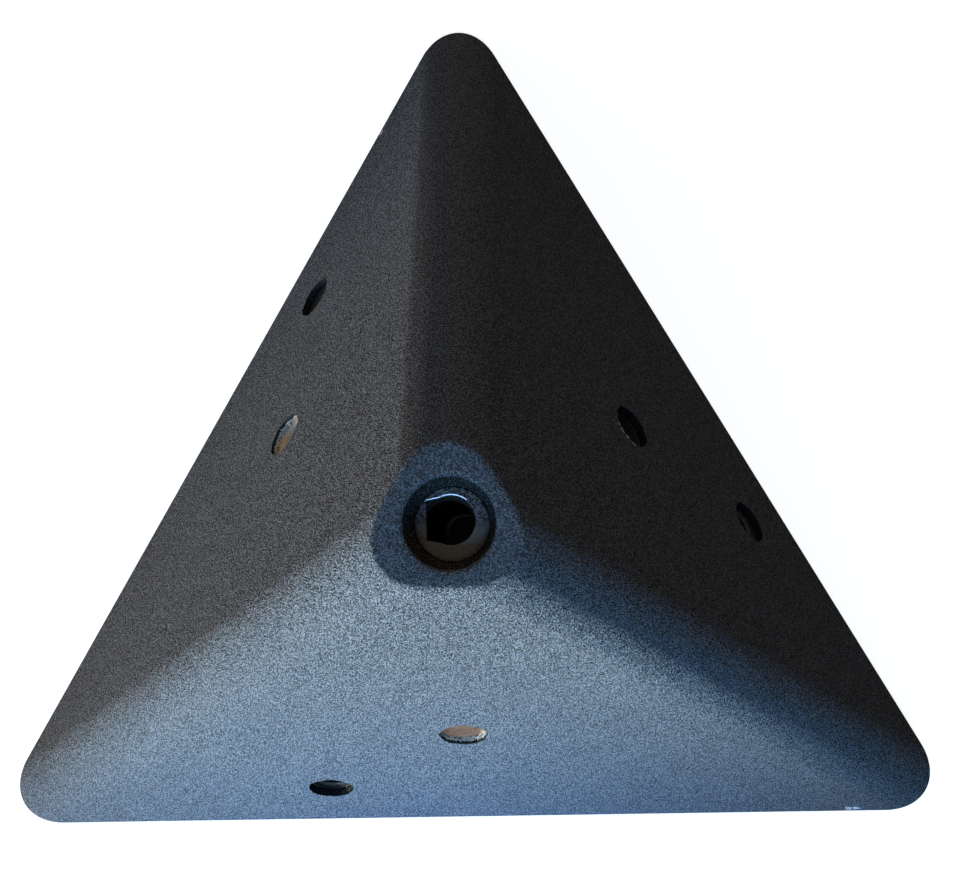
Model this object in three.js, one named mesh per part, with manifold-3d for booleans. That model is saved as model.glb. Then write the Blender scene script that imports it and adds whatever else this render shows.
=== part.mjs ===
// Climbing volume: a three-sided pyramid of sand-coated glass-fibre laminate. One bolt through
// its flat tip holds it to a climbing wall, and each face has two threaded inserts for holds.
// Millimetres. The wall plane is z = 0, +Z points away from the wall, and the front face is
// the one towards -Y.
import * as THREE from "three";
import { mergeVertices } from "three/addons/utils/BufferGeometryUtils.js";
import Module from "manifold-3d";

const wasm = await Module();
wasm.setup();

// Shell: the outer pyramid and the thickness of its laminate with the coat on it.
const baseSide = 280;
const height = 125;
const tipWidth = 29;
const ridgeRadius = 14;
const shellWall = 2.5;

// Recess for the bolt's head in the flat tip. The laminate under it fills the narrow tip.
const recessDepth = 12;
const recessFloorWidth = 17.8;
const recessFlare = 2.6;
const recessLipRadius = 1;
const recessFloorWall = 5;
const boltHoleWidth = 11.2;

// Washer on the recess floor.
const washerBore = 11;
const washerThickness = 2;
const washerEdgeRadius = 0.5;

// Sleeve round the bolt, from the recess floor down to the wall plane.
const sleeveBore = 11.4;
const sleeveWall = 2.3;
const sleeveChamfer = 0.5;

// Plywood: the block under the recess, the liner boards, and the brace at the wall plane.
const blockThickness = 18;
const linerThickness = 12;
const linerTopRoom = 13.3;
const linerCornerRadius = 6;
const braceThickness = 12;
const hubWidth = 48;
const armWidth = 20;
const tongueThickness = 4;
const tongueLength = 8;
const tenonLength = 6;

// Inserts. Shift runs across a face from its middle, to the right as a person in front of that
// face sees it. The inner insert's drop runs down the face from its board's top edge, and the
// outer one's flange clears the wall plane by its lift. Sunk is how deep under the face a
// barrel's mouth lies.
const innerInsertDrop = 27.5;
const innerInsertShift = 0;
const innerBarrelSunk = 7.1;
const outerInsertLift = 1.935;
const outerInsertShift = -38;
const outerBarrelSunk = 2.1;
const threadBore = 8.6;
const barrelWall = 1.4;
const barrelChamfer = 0.6;
const flangeWidth = 27;
const flangeThickness = 1.5;

// Screws that hold each insert's flange to its board.
const screwCount = 3;
const screwHeadWidth = 6.4;
const screwHeadHeight = 1.9;
const screwShankWidth = 3.2;
const screwLength = 9.5;
const screwPointLength = 2.4;
const screwHeadTopShare = 0.6;

// Room between two pieces that touch, how far a cut runs past what it cuts, and how close two
// corners of a mesh lie when they are one.
const seatGap = 0.3;
const cutOverrun = 5;
const weldDistance = 0.0001;

// The hub's sides, every other one against an arm.
const hubSides = 6;

// Steps round a full circle, along one rounded ridge, and along a small edge round-over.
const roundSteps = 32;
const smallSteps = 12;
const ridgeSteps = 12;
const lipSteps = 3;

const coatBlack = new THREE.MeshStandardMaterial({ color: 0x24282c, roughness: 0.85, metalness: 0 });
const plywood = new THREE.MeshStandardMaterial({ color: 0xb08a64, roughness: 0.8, metalness: 0 });
const darkSteel = new THREE.MeshStandardMaterial({ color: 0x3a3835, roughness: 0.5, metalness: 0.8 });
const zincSteel = new THREE.MeshStandardMaterial({ color: 0x9a9c9e, roughness: 0.4, metalness: 0.9 });

// Angles of the pyramid. A face leans by slope from the wall plane and a ridge by ridgeSlope.
// A ridge's round-over turns through ridgeArc to each side, and its line runs up a face at
// faceCorner from the base edge.
const baseInradius = baseSide / (2 * Math.sqrt(3));
const tipInradius = tipWidth / 2;
const slope = Math.atan2(height, baseInradius - tipInradius);
const ridgeSlope = Math.atan2(height, 2 * (baseInradius - tipInradius));
const ridgeArc = Math.atan(Math.sqrt(3) * Math.sin(ridgeSlope));
const faceCorner = Math.atan2(1, Math.sqrt(3) * Math.cos(slope));

// The round-over is limited to what leaves a straight side on the flat tip.
const roundOverShare = Math.hypot(
  2 / Math.sin(slope) - Math.cos(ridgeArc) / Math.sin(ridgeSlope),
  Math.sin(ridgeArc),
);
const roundOver = Math.min(ridgeRadius, (Math.sqrt(3) * tipInradius) / roundOverShare);

// The three faces, each turned about the bolt's axis from the front one, and the directions
// of the three corners.
const thirdTurn = (2 * Math.PI) / 3;
const faces = [
  { name: "front", turn: 0 },
  { name: "right", turn: thirdTurn },
  { name: "left", turn: 2 * thirdTurn },
];
const cornerTurns = faces.map((face) => face.turn + Math.PI / 2);

// Depths measured outwards from a face, so they are negative inside it.
const linerFront = -(shellWall + seatGap);
const linerBack = linerFront - linerThickness;
const flangeFront = linerBack - seatGap;
const flangeBack = flangeFront - flangeThickness;
const screwSeat = flangeBack - seatGap;

const recessFloor = height - recessDepth;
const ceiling = recessFloor - recessFloorWall;
const sleeveRadius = sleeveBore / 2 + sleeveWall;
const blockTop = ceiling - seatGap;
const blockBottom = blockTop - blockThickness;

// How far up a face its board reaches, so that it ends under the tip block.
const linerRise =
  (blockBottom - linerTopRoom - linerFront * Math.cos(slope)) / Math.sin(slope);

// The two inserts of a face. Rise runs up the face from its base edge.
const barrelWidth = threadBore + 2 * barrelWall;
const insertHoleWidth = barrelWidth + 2 * seatGap;
const inserts = [
  {
    name: "inner",
    shift: innerInsertShift,
    rise: linerRise - innerInsertDrop,
    barrel: -flangeFront - innerBarrelSunk,
  },
  {
    name: "outer",
    shift: outerInsertShift,
    rise: flangeWidth / 2 + (outerInsertLift - flangeBack * Math.cos(slope)) / Math.sin(slope),
    barrel: -flangeFront - outerBarrelSunk,
  },
];

// A closed three.js geometry as a solid that can be cut and joined.
function solidOf(geometry) {
  const bare = geometry.clone();
  bare.deleteAttribute("normal");
  bare.deleteAttribute("uv");
  const merged = mergeVertices(bare, weldDistance);
  return new wasm.Manifold(
    new wasm.Mesh({
      numProp: 3,
      vertProperties: merged.attributes.position.array,
      triVerts: new Uint32Array(merged.index.array),
    }),
  );
}

function geometryOf(solid) {
  const mesh = solid.getMesh();
  const geometry = new THREE.BufferGeometry();
  geometry.setAttribute("position", new THREE.BufferAttribute(mesh.vertProperties, 3));
  geometry.setIndex(new THREE.BufferAttribute(mesh.triVerts, 1));
  geometry.computeVertexNormals();
  return geometry;
}

function cut(geometry, cutters) {
  return geometryOf(
    cutters.reduce((solid, cutter) => solid.subtract(solidOf(cutter)), solidOf(geometry)),
  );
}

// One level cut through the pyramid after its skin has moved inwards by inset: three straight
// sides, joined by the ellipses that the level cuts from the ridges' round-overs.
function levelOutline(level, inset) {
  const axisInradius = baseInradius - level / Math.tan(slope) - roundOver / Math.sin(slope);
  const radius = roundOver - inset;
  return cornerTurns.flatMap((turn) =>
    new THREE.EllipseCurve(
      2 * axisInradius * Math.cos(turn),
      2 * axisInradius * Math.sin(turn),
      radius / Math.sin(ridgeSlope),
      radius,
      -ridgeArc,
      ridgeArc,
      false,
      turn,
    ).getPoints(ridgeSteps),
  );
}

// The pyramid's solid between two levels, its skin moved inwards by inset.
function pyramid(low, high, inset) {
  const lowOutline = levelOutline(low, inset);
  const highOutline = levelOutline(high, inset);
  const count = lowOutline.length;
  const positions = [
    ...lowOutline.flatMap((point) => [point.x, point.y, low]),
    ...highOutline.flatMap((point) => [point.x, point.y, high]),
  ];
  const index = lowOutline.flatMap((point, i) => {
    const next = (i + 1) % count;
    return [i, next, count + next, i, count + next, count + i];
  });
  for (const [a, b, c] of THREE.ShapeUtils.triangulateShape(lowOutline, [])) {
    index.push(a, c, b, count + a, count + b, count + c);
  }
  const geometry = new THREE.BufferGeometry();
  geometry.setAttribute("position", new THREE.Float32BufferAttribute(positions, 3));
  geometry.setIndex(index);
  return geometry;
}

// A turned shape about Z from points given as [radius, height].
function turned(points, steps) {
  return new THREE.LatheGeometry(
    points.map(([radius, level]) => new THREE.Vector2(radius, level)),
    steps,
  ).rotateX(Math.PI / 2);
}

// A round rod along Z from one height to another.
function rod(width, low, high, steps) {
  return turned([[0, low], [width / 2, low], [width / 2, high], [0, high]], steps);
}

// Points of a quarter circle about a centre, from one angle to another.
function arcPoints(radius, level, arcRadius, from, to) {
  return new THREE.EllipseCurve(radius, level, arcRadius, arcRadius, from, to, to < from, 0)
    .getPoints(lipSteps)
    .map((point) => [point.x, point.y]);
}

function polygon(points, depth) {
  const shape = new THREE.Shape(points.map(([x, y]) => new THREE.Vector2(x, y)));
  return new THREE.ExtrudeGeometry(shape, { depth, bevelEnabled: false });
}

// From the plane of the front face, x across it, y up it and z outwards, to the part's frame.
const ontoFront = new THREE.Matrix4()
  .makeTranslation(0, -baseInradius, 0)
  .multiply(new THREE.Matrix4().makeRotationX(slope));

// From a profile drawn as [distance from the bolt's axis, height] and extruded by its width, to
// a piece that lies across the middle of the front face.
function acrossFront(geometry, width) {
  const turn = new THREE.Matrix4().makeBasis(
    new THREE.Vector3(0, -1, 0),
    new THREE.Vector3(0, 0, 1),
    new THREE.Vector3(-1, 0, 0),
  );
  return geometry.applyMatrix4(turn).translate(width / 2, 0, 0);
}

function insertHole(insert) {
  return rod(insertHoleWidth, flangeFront - cutOverrun, cutOverrun, roundSteps)
    .translate(insert.shift, insert.rise, 0)
    .applyMatrix4(ontoFront);
}

function shellGeometry() {
  const mouth = (recessFloorWidth + recessFlare) / 2;
  const lipLevel = height - recessLipRadius;
  const recess = turned(
    [
      [0, recessFloor],
      [recessFloorWidth / 2, recessFloor],
      ...arcPoints(mouth + recessLipRadius, lipLevel, recessLipRadius, Math.PI, Math.PI / 2),
      [mouth + recessLipRadius, height + cutOverrun],
      [0, height + cutOverrun],
    ],
    roundSteps,
  );
  const holes = faces.flatMap((face) =>
    inserts.map((insert) => insertHole(insert).rotateZ(face.turn)),
  );
  return cut(pyramid(0, height, 0), [
    pyramid(-cutOverrun, ceiling, shellWall),
    recess,
    rod(boltHoleWidth, ceiling - cutOverrun, recessFloor + cutOverrun, roundSteps),
    ...holes,
  ]);
}

function washerGeometry() {
  const outer = recessFloorWidth / 2 - seatGap;
  const bore = washerBore / 2;
  const top = washerThickness;
  const edge = washerEdgeRadius;
  return turned(
    [
      [bore, 0],
      [outer, 0],
      ...arcPoints(outer - edge, top - edge, edge, 0, Math.PI / 2),
      ...arcPoints(bore + edge, top - edge, edge, Math.PI / 2, Math.PI),
      [bore, 0],
    ],
    roundSteps,
  );
}

function sleeveGeometry() {
  const bore = sleeveBore / 2;
  const top = ceiling - seatGap;
  const edge = sleeveChamfer;
  return turned(
    [
      [bore, 0],
      [sleeveRadius - edge, 0],
      [sleeveRadius, edge],
      [sleeveRadius, top - edge],
      [sleeveRadius - edge, top],
      [bore, top],
      [bore, 0],
    ],
    roundSteps,
  );
}

function blockGeometry() {
  const low = blockBottom - cutOverrun;
  const high = blockTop + cutOverrun;
  return cut(pyramid(blockBottom, blockTop, shellWall + seatGap), [
    rod(2 * (sleeveRadius + seatGap), low, high, roundSteps),
  ]);
}

// Distance from the bolt's axis to the back of the front liner board at one level.
function linerBackReach(level) {
  return baseInradius - level / Math.tan(slope) + linerBack / Math.sin(slope);
}

const tongueLow = (braceThickness - tongueThickness) / 2;
const tongueHigh = tongueLow + tongueThickness;

// The hub has flats against the arms, grooved for their tongues.
function hubGeometry() {
  const corner = hubWidth / 2 / Math.cos(Math.PI / hubSides);
  const outline = Array.from({ length: hubSides }, (item, i) => [
    corner * Math.cos((i * 2 * Math.PI) / hubSides),
    corner * Math.sin((i * 2 * Math.PI) / hubSides),
  ]);
  const grooveStart = hubWidth / 2 - tongueLength - seatGap;
  const groove = polygon(
    [
      [grooveStart, tongueLow - seatGap],
      [hubWidth / 2 + cutOverrun, tongueLow - seatGap],
      [hubWidth / 2 + cutOverrun, tongueHigh + seatGap],
      [grooveStart, tongueHigh + seatGap],
    ],
    armWidth + 2 * seatGap,
  );
  acrossFront(groove, armWidth + 2 * seatGap);
  return cut(polygon(outline, braceThickness), [
    rod(2 * (sleeveRadius + seatGap), -cutOverrun, braceThickness + cutOverrun, roundSteps),
    ...faces.map((face) => groove.clone().rotateZ(face.turn)),
  ]);
}

// An arm's profile: a tongue into the hub, and a shoulder and tenon against the liner board.
function armGeometry() {
  const start = hubWidth / 2 + seatGap;
  const shoulder = (level) => linerBackReach(level) - seatGap / Math.sin(slope);
  return acrossFront(
    polygon(
      [
        [start, 0],
        [shoulder(0), 0],
        [shoulder(tongueLow), tongueLow],
        [shoulder(tongueLow) + tenonLength, tongueLow],
        [shoulder(tongueHigh) + tenonLength, tongueHigh],
        [shoulder(tongueHigh), tongueHigh],
        [shoulder(braceThickness), braceThickness],
        [start, braceThickness],
        [start, tongueHigh],
        [start - tongueLength, tongueHigh],
        [start - tongueLength, tongueLow],
        [start, tongueLow],
      ],
      armWidth,
    ),
    armWidth,
  );
}

function mortiseGeometry() {
  const low = tongueLow - seatGap;
  const high = tongueHigh + seatGap;
  const end = (level) => linerBackReach(level) + tenonLength + seatGap;
  return acrossFront(
    polygon(
      [
        [end(high) - tenonLength - cutOverrun, low],
        [end(low), low],
        [end(high), high],
        [end(high) - tenonLength - cutOverrun, high],
      ],
      armWidth + 2 * seatGap,
    ),
    armWidth + 2 * seatGap,
  );
}

// Where the screws of one insert stand round its axis, midway between the barrel and the
// flange's rim, as offsets across and up the face.
const screwCircleWidth = (barrelWidth + flangeWidth) / 2;
const screwPlaces = Array.from({ length: screwCount }, (item, i) => {
  const angle = Math.PI / 2 + (i * 2 * Math.PI) / screwCount;
  return [(screwCircleWidth / 2) * Math.cos(angle), (screwCircleWidth / 2) * Math.sin(angle)];
});

// A liner board: flat plywood whose ends clear the ridge round-overs and the next board, cut
// flush with the wall plane, with its insert holes, pilot holes and the arm's mortise.
function linerGeometry() {
  const ridgeHalfAngle = Math.PI / 2 - ridgeArc;
  const endSetback =
    Math.max(roundOver * Math.tan(ridgeArc), -linerBack / Math.tan(ridgeHalfAngle)) + seatGap;
  const bottomHalf = baseSide / 2 - endSetback / Math.sin(faceCorner);
  const topHalf = bottomHalf - linerRise / Math.tan(faceCorner);
  const cornerAcross = linerCornerRadius * Math.tan(faceCorner / 2);
  const outline = new THREE.Shape();
  outline.moveTo(-bottomHalf, 0);
  outline.lineTo(bottomHalf, 0);
  outline.lineTo(
    topHalf + cornerAcross * Math.cos(faceCorner),
    linerRise - cornerAcross * Math.sin(faceCorner),
  );
  outline.absarc(
    topHalf - cornerAcross,
    linerRise - linerCornerRadius,
    linerCornerRadius,
    Math.PI / 2 - faceCorner,
    Math.PI / 2,
  );
  outline.absarc(
    cornerAcross - topHalf,
    linerRise - linerCornerRadius,
    linerCornerRadius,
    Math.PI / 2,
    Math.PI / 2 + faceCorner,
  );
  const board = new THREE.ExtrudeGeometry(outline, {
    depth: linerThickness,
    bevelEnabled: false,
    curveSegments: lipSteps,
  })
    .translate(0, 0, linerBack)
    .applyMatrix4(ontoFront);
  const belowWall = new THREE.BoxGeometry(2 * baseSide, 2 * baseSide, baseSide).translate(
    0,
    0,
    -baseSide / 2,
  );
  const pilots = inserts.flatMap((insert) =>
    screwPlaces.map(([across, up]) =>
      rod(
        screwShankWidth + 2 * seatGap,
        linerBack - cutOverrun,
        screwSeat + screwLength + seatGap,
        smallSteps,
      )
        .translate(insert.shift + across, insert.rise + up, 0)
        .applyMatrix4(ontoFront),
    ),
  );
  return cut(board, [belowWall, mortiseGeometry(), ...inserts.map(insertHole), ...pilots]);
}

// A tee nut with its flange at z = 0 and its barrel along +Z. The screws pass its flange.
function teeNutGeometry(barrelLength) {
  const bore = threadBore / 2;
  const barrel = barrelWidth / 2;
  const mouth = flangeThickness + barrelLength;
  const body = turned(
    [
      [bore, 0],
      [flangeWidth / 2, 0],
      [flangeWidth / 2, flangeThickness],
      [barrel, flangeThickness],
      [barrel, mouth - barrelChamfer],
      [barrel - barrelChamfer, mouth],
      [bore, mouth],
      [bore, 0],
    ],
    roundSteps,
  );
  const holes = screwPlaces.map(([across, up]) =>
    rod(
      screwShankWidth + 2 * seatGap,
      -cutOverrun,
      flangeThickness + cutOverrun,
      smallSteps,
    ).translate(across, up, 0),
  );
  return cut(body, holes);
}

// A pan-head screw, the underside of its head at z = 0 and its point along +Z.
function screwGeometry() {
  const head = screwHeadWidth / 2;
  const shank = screwShankWidth / 2;
  return turned(
    [
      [0, -screwHeadHeight],
      [head * screwHeadTopShare, -screwHeadHeight],
      [head, -screwHeadHeight / 2],
      [head, 0],
      [shank, 0],
      [shank, screwLength - screwPointLength],
      [0, screwLength],
    ],
    smallSteps,
  );
}

function addMesh(group, name, geometry, material, x = 0, y = 0, z = 0) {
  const mesh = new THREE.Mesh(geometry, material);
  mesh.name = name;
  mesh.position.set(x, y, z);
  group.add(mesh);
}

const volume = new THREE.Group();

addMesh(volume, "shell", shellGeometry(), coatBlack);
addMesh(volume, "bolt_washer", washerGeometry(), darkSteel, 0, 0, recessFloor + seatGap);
addMesh(volume, "bolt_sleeve", sleeveGeometry(), zincSteel);
addMesh(volume, "tip_block", blockGeometry(), plywood);
addMesh(volume, "brace_hub", hubGeometry(), plywood);

const liner = linerGeometry();
const arm = armGeometry();
const screw = screwGeometry();
for (const insert of inserts) insert.nut = teeNutGeometry(insert.barrel);

for (const face of faces) {
  const sector = new THREE.Group();
  sector.rotation.z = face.turn;
  volume.add(sector);
  addMesh(sector, `liner_${face.name}`, liner, plywood);
  addMesh(sector, `brace_arm_${face.name}`, arm, plywood);

  const plane = new THREE.Group();
  plane.position.y = -baseInradius;
  plane.rotation.x = slope;
  sector.add(plane);
  for (const insert of inserts) {
    const place = `${face.name}_${insert.name}`;
    addMesh(plane, `tee_nut_${place}`, insert.nut, zincSteel, insert.shift, insert.rise, flangeBack);
    screwPlaces.forEach(([across, up], i) => {
      const x = insert.shift + across;
      const y = insert.rise + up;
      addMesh(plane, `tee_nut_screw_${place}_${i + 1}`, screw, zincSteel, x, y, screwSeat);
    });
  }
}

// The part's origin is the middle of the outer box on the wall plane, not the bolt's axis.
const outerRing = levelOutline(0, 0);
const ringTop = Math.max(...outerRing.map((point) => point.y));
const ringBottom = Math.min(...outerRing.map((point) => point.y));
volume.position.y = -(ringTop + ringBottom) / 2;

export default volume;
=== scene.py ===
"""Dresses the climbing volume: a three-sided pyramid of glass-fibre laminate under a black sand
coat, with a bolt recess in its flat tip and two threaded inserts in each face.

Shapes are worked out in millimetres about the fixing bolt's axis, with the wall plane at z = 0
and the front face towards -Y, and are put into the part's frame in metres."""
import math
import bpy
import numpy as np
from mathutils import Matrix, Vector


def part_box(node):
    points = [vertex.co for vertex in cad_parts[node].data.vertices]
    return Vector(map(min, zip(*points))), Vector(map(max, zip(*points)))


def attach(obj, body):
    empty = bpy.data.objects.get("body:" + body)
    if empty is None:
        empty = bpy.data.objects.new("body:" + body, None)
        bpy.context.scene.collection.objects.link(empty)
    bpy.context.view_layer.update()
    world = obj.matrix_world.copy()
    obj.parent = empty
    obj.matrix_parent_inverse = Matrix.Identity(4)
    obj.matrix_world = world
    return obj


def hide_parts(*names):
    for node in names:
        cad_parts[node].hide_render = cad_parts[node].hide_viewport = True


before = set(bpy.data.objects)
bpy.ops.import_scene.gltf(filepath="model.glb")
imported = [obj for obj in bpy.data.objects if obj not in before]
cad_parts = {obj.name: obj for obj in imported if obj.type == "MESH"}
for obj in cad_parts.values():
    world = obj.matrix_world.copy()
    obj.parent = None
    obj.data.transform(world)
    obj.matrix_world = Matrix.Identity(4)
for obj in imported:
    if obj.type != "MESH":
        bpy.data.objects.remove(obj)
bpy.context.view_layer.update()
MM = 0.001

# Shell: the outer pyramid, its laminate with the coat, its worn edges, and its skin's waves, which
# fade in from rim and tip. Each nick in the coat is a point and a width.
BASE_SIDE = 280.0
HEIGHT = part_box("shell")[1].z / MM
TIP_WIDTH = 29.0
RIDGE_RADIUS = 14.0
SHELL_WALL = 2.5
COAT = 0.9
RIM_EDGE = 0.6
TIP_EDGE = 1.6
SKIN_WAVE = 0.16
WAVE_FADE = 12
NICKS = ((-22.6, 119.0, 1.4, 2.6), (107.2, -79.0, 2.2, 2.6), (109.2, -79.0, 2.4, 2.6),
         (42.3, 26.6, 58.4, 1.6), (42.8, 24.9, 59.0, 2.0), (44.1, 23.2, 58.7, 1.5),
         (45.4, 21.9, 57.7, 1.8))

# Recess for the bolt's head, and the laminate under it.
RECESS_DEPTH = 12.0
RECESS_FLOOR_WIDTH = 17.8
RECESS_FLARE = 2.6
RECESS_LIP = 1.2
RECESS_SHIFT = 0.6
RECESS_FLOOR_WALL = 5.0
BOLT_HOLE_WIDTH = 12.4

# Washer and sleeve round the bolt. The washer's foot is lifted off its seat. Dust lies on it from
# DUST_RIM outwards and from DUST_SIDE towards +Y, each from none to full, and over an arc, in
# radians, its bore is shiny bare steel, set there to make a painted highlight.
WASHER_WIDTH = 17.0
WASHER_SHIFT = 0.9
WASHER_COLLAR = 0.03
WASHER_BORE = 11.0
WASHER_THICKNESS = 2.0
WASHER_EDGE = 0.45
WASHER_LIFT = 0.01
BORE_SHIFT = (0.6, 0.85)
BORE_CORNER = (5.5, 4.4)
BORE_FLAT_MEETS = 2.4
HIGHLIGHT_ARC = (0.9, 2.5)
DUST_RIM = (6.9, 8.3)
DUST_SIDE = (-2.5, 1.2)
DUST_BLUR = 6.0
SLEEVE_BORE = 11.4
SLEEVE_WALL = 2.3
SLEEVE_EDGE = 0.5

# Liner boards, with the glue line that shows next to the shell, the brace behind them, and the
# inserts in them.
SEAT_GAP = 0.3
GLUE_LINE = 0.05
BOARD_THICKNESS = 12.0
BOARD_RISE = 87.98
BOARD_CORNER = 6.0
BOARD_EDGE = 0.35
EASED_ANGLE = 50
PLY = 1.34
ARM_WIDTH = 20.0
BRACE_THICKNESS = 12.0
TONGUE_THICKNESS = 4.0
TENON_LENGTH = 6.0
INSERT_HOLE_WIDTH = 12.0
BARREL_WIDTH = 11.4
BARREL_EDGE = 0.6
BARREL_FILLET = 0.6
FILLET_BEND = 0.18
THREAD_PITCH = 1.5
THREAD_MINOR = 8.4
THREAD_MAJOR = 10.0
THREAD_END = 0.5
THREAD_FLANK, THREAD_ROOT = 2.4, 0.12
FLANGE_WIDTH = 27.0
FLANGE_THICKNESS = 1.5
FLANGE_EDGE = 0.3

# Inserts: each one's shift across its face, its rise up it and how deep its barrel is sunk.
INSERTS = {"inner": (0.0, 60.48, 7.1), "outer": (-38.0, 24.5, 2.1)}

# Chips in the coat round a hole: their depth, their mean width and the swing of each wave.
CHIP_DEPTH = 0.8
CHIP_MEAN = 0.10
CHIP_SWING = 0.11

# Holes darkened inside, partly by the coat that ran into them and partly as painted shade; the
# right inner one's darkness is painted shade. Each has how much of it is left on the side that is
# chipped, and where that side begins, as a share of the hole's width.
RUN_IN_AND_SHADED_HOLES = {("front", "outer"): 0.42, ("right", "outer"): 1.0, ("left", "outer"): 1.0,
                 ("right", "inner"): 0.50}
CHIPPED_SIDE = (0.8, -0.6)
CHIPPED_FROM = 0.42

# Screws of the inserts. The cross in a head has arms of a half width and a depth.
SCREW_COUNT = 3
SCREW_CIRCLE = (BARREL_WIDTH + FLANGE_WIDTH) / 2
SCREW_HEAD_WIDTH = 6.4
SCREW_HEAD_HEIGHT = 1.9
SCREW_CROSS = (0.55, 1.1)
SCREW_SHANK_WIDTH = 3.2
SCREW_CORE_WIDTH = 2.2
SCREW_PITCH = 1.3
SCREW_LENGTH = 9.5
SCREW_POINT = 2.4
SCREW_NECK, SCREW_TIP = 0.4, 0.05
PILOT_WIDTH = SCREW_SHANK_WIDTH + 2 * SEAT_GAP

# Angles and levels, as the part's construction has them.
BASE_INRADIUS = BASE_SIDE / (2 * math.sqrt(3))
RUN = BASE_INRADIUS - TIP_WIDTH / 2
SLOPE = math.atan2(HEIGHT, RUN)
RIDGE_SLOPE = math.atan2(HEIGHT, 2 * RUN)
RIDGE_ARC = math.atan(math.sqrt(3) * math.sin(RIDGE_SLOPE))
FACE_CORNER = math.atan2(1, math.sqrt(3) * math.cos(SLOPE))
FACES = {"front": 0.0, "right": math.tau / 3, "left": 2 * math.tau / 3}
CORNER_TURNS = [turn + math.pi / 2 for turn in FACES.values()]
RECESS_FLOOR = HEIGHT - RECESS_DEPTH
CEILING = RECESS_FLOOR - RECESS_FLOOR_WALL
BOARD_FRONT = -(SHELL_WALL + SEAT_GAP)
BOARD_BACK = BOARD_FRONT - BOARD_THICKNESS
FLANGE_FRONT = BOARD_BACK - SEAT_GAP
FLANGE_BACK = FLANGE_FRONT - FLANGE_THICKNESS
SCREW_SEAT = FLANGE_BACK - SEAT_GAP

# Foot of the bolt's axis in the part's frame, in metres.
LOW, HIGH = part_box("bolt_sleeve")
AXIS = np.array([(LOW.x + HIGH.x) / 2, (LOW.y + HIGH.y) / 2, 0.0])

# Steps of the grids, the angle in degrees from which an edge is sharp, how far a cutter stands
# out of what it cuts, and lengths as good as none and as endless.
ARC_STEPS = 36
SIDE_STEPS = 72
WALL_STEPS = 50
ROUND_STEPS = 96
SMALL_STEPS = 32
THREAD_STEPS = 10
SHANK_STEPS = 60
SHARP_ANGLE = 35.0
CLEAR = 2
TINY = 1e-6
FAR_OFF = 1e6

# Colours in linear red, green and blue. Of two, the first is where the pattern is low.
COAT_COLOURS = (0.044, 0.047, 0.051), (0.132, 0.139, 0.152)
PALE_GRAIN_AND_GLINT_COLOUR = (0.38, 0.38, 0.36)
CHIP_COLOUR = (0.45, 0.46, 0.50)
# The recess is partly black paint and partly painted shade, darker than the coat.
RECESS_PAINT_AND_SHADE_COLOURS = (0.020, 0.021, 0.021), (0.088, 0.086, 0.083)
DUST_COLOURS = (0.022, 0.020, 0.020), (0.125, 0.100, 0.100)
BARE_COLOURS = (0.130, 0.133, 0.126), (0.150, 0.153, 0.146)
GLASS_COLOURS = (0.05, 0.055, 0.055), (0.60, 0.61, 0.56)
WOOD_COLOURS = (0.42, 0.24, 0.15), (0.74, 0.48, 0.32)
CUT_COAT_COLOUR = (0.020, 0.021, 0.023)
# Deep in the darkened holes: partly the coat that ran in, partly painted shade.
RUN_IN_AND_SHADE_COLOUR = (0.012, 0.012, 0.013)
LAMINATE_COLOURS = (0.17, 0.18, 0.14), (0.44, 0.46, 0.38)
RESIN_COLOUR = (0.30, 0.27, 0.18)
PLY_COLOURS = (0.82, 0.51, 0.33), (0.48, 0.26, 0.16)
GLUE_COLOUR = (0.20, 0.11, 0.07)

# Finish of each material: roughness (of metals, each its own), specular level, relief in metres.
COAT_LOOK = (0.8, 0.0, 0.0004)
RECESS_LOOK = (0.8, 0.0, 0.0006)
DUST_LOOK = (0.62, 0.08, 0.0002)
EDGE_LOOK = (0.75, 0.0, 0.0003)
LAMINATE_LOOK = (0.38, 0.5, 0.0004)
PLY_LOOK = (0.75, 0.1, 0.00018)
METAL_LOOK = (0.1, 0.00008)
FLOOR_LOOK = (0.9, 0.0, 0.0)

# Sand: how far it is drawn out down the slope, each layer's scale as a share of the grains' own,
# and what each layer adds to the height or the tone.
GRAIN_SQUEEZE = 0.35
SWELL_SCALE, POOL_SCALE, GLINT_SCALE = 0.8, 0.25, 0.9
SWELL_HEIGHT, DOME_HEIGHT = 1.1, 0.35
FINE_TONE, POOL_TONE = 0.9, 0.1
GLINT_RANGE = (0.71, 0.76)

# Plywood: the stretch of its two grains, per metre, and the glue line's edge as a share of a ply.
PLY_STRETCHES = (60.0, 1500.0, 1500.0), (1500.0, 60.0, 1500.0)
GLUE_RANGE = (0.44, 0.49)


def spun(x, y, turn):
    """The points x, y turned about the origin by turn."""
    return np.stack(
        [x * math.cos(turn) - y * math.sin(turn), x * math.sin(turn) + y * math.cos(turn)], -1
    )


def direction(azimuth, elevation):
    """Unit vectors by azimuth from +X and elevation."""
    flat = np.cos(elevation)
    return np.stack([flat * np.cos(azimuth), flat * np.sin(azimuth), np.sin(elevation)], -1)


def full_turn(steps):
    """Angles at even steps round a circle."""
    return np.arange(steps) * math.tau / steps


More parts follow.
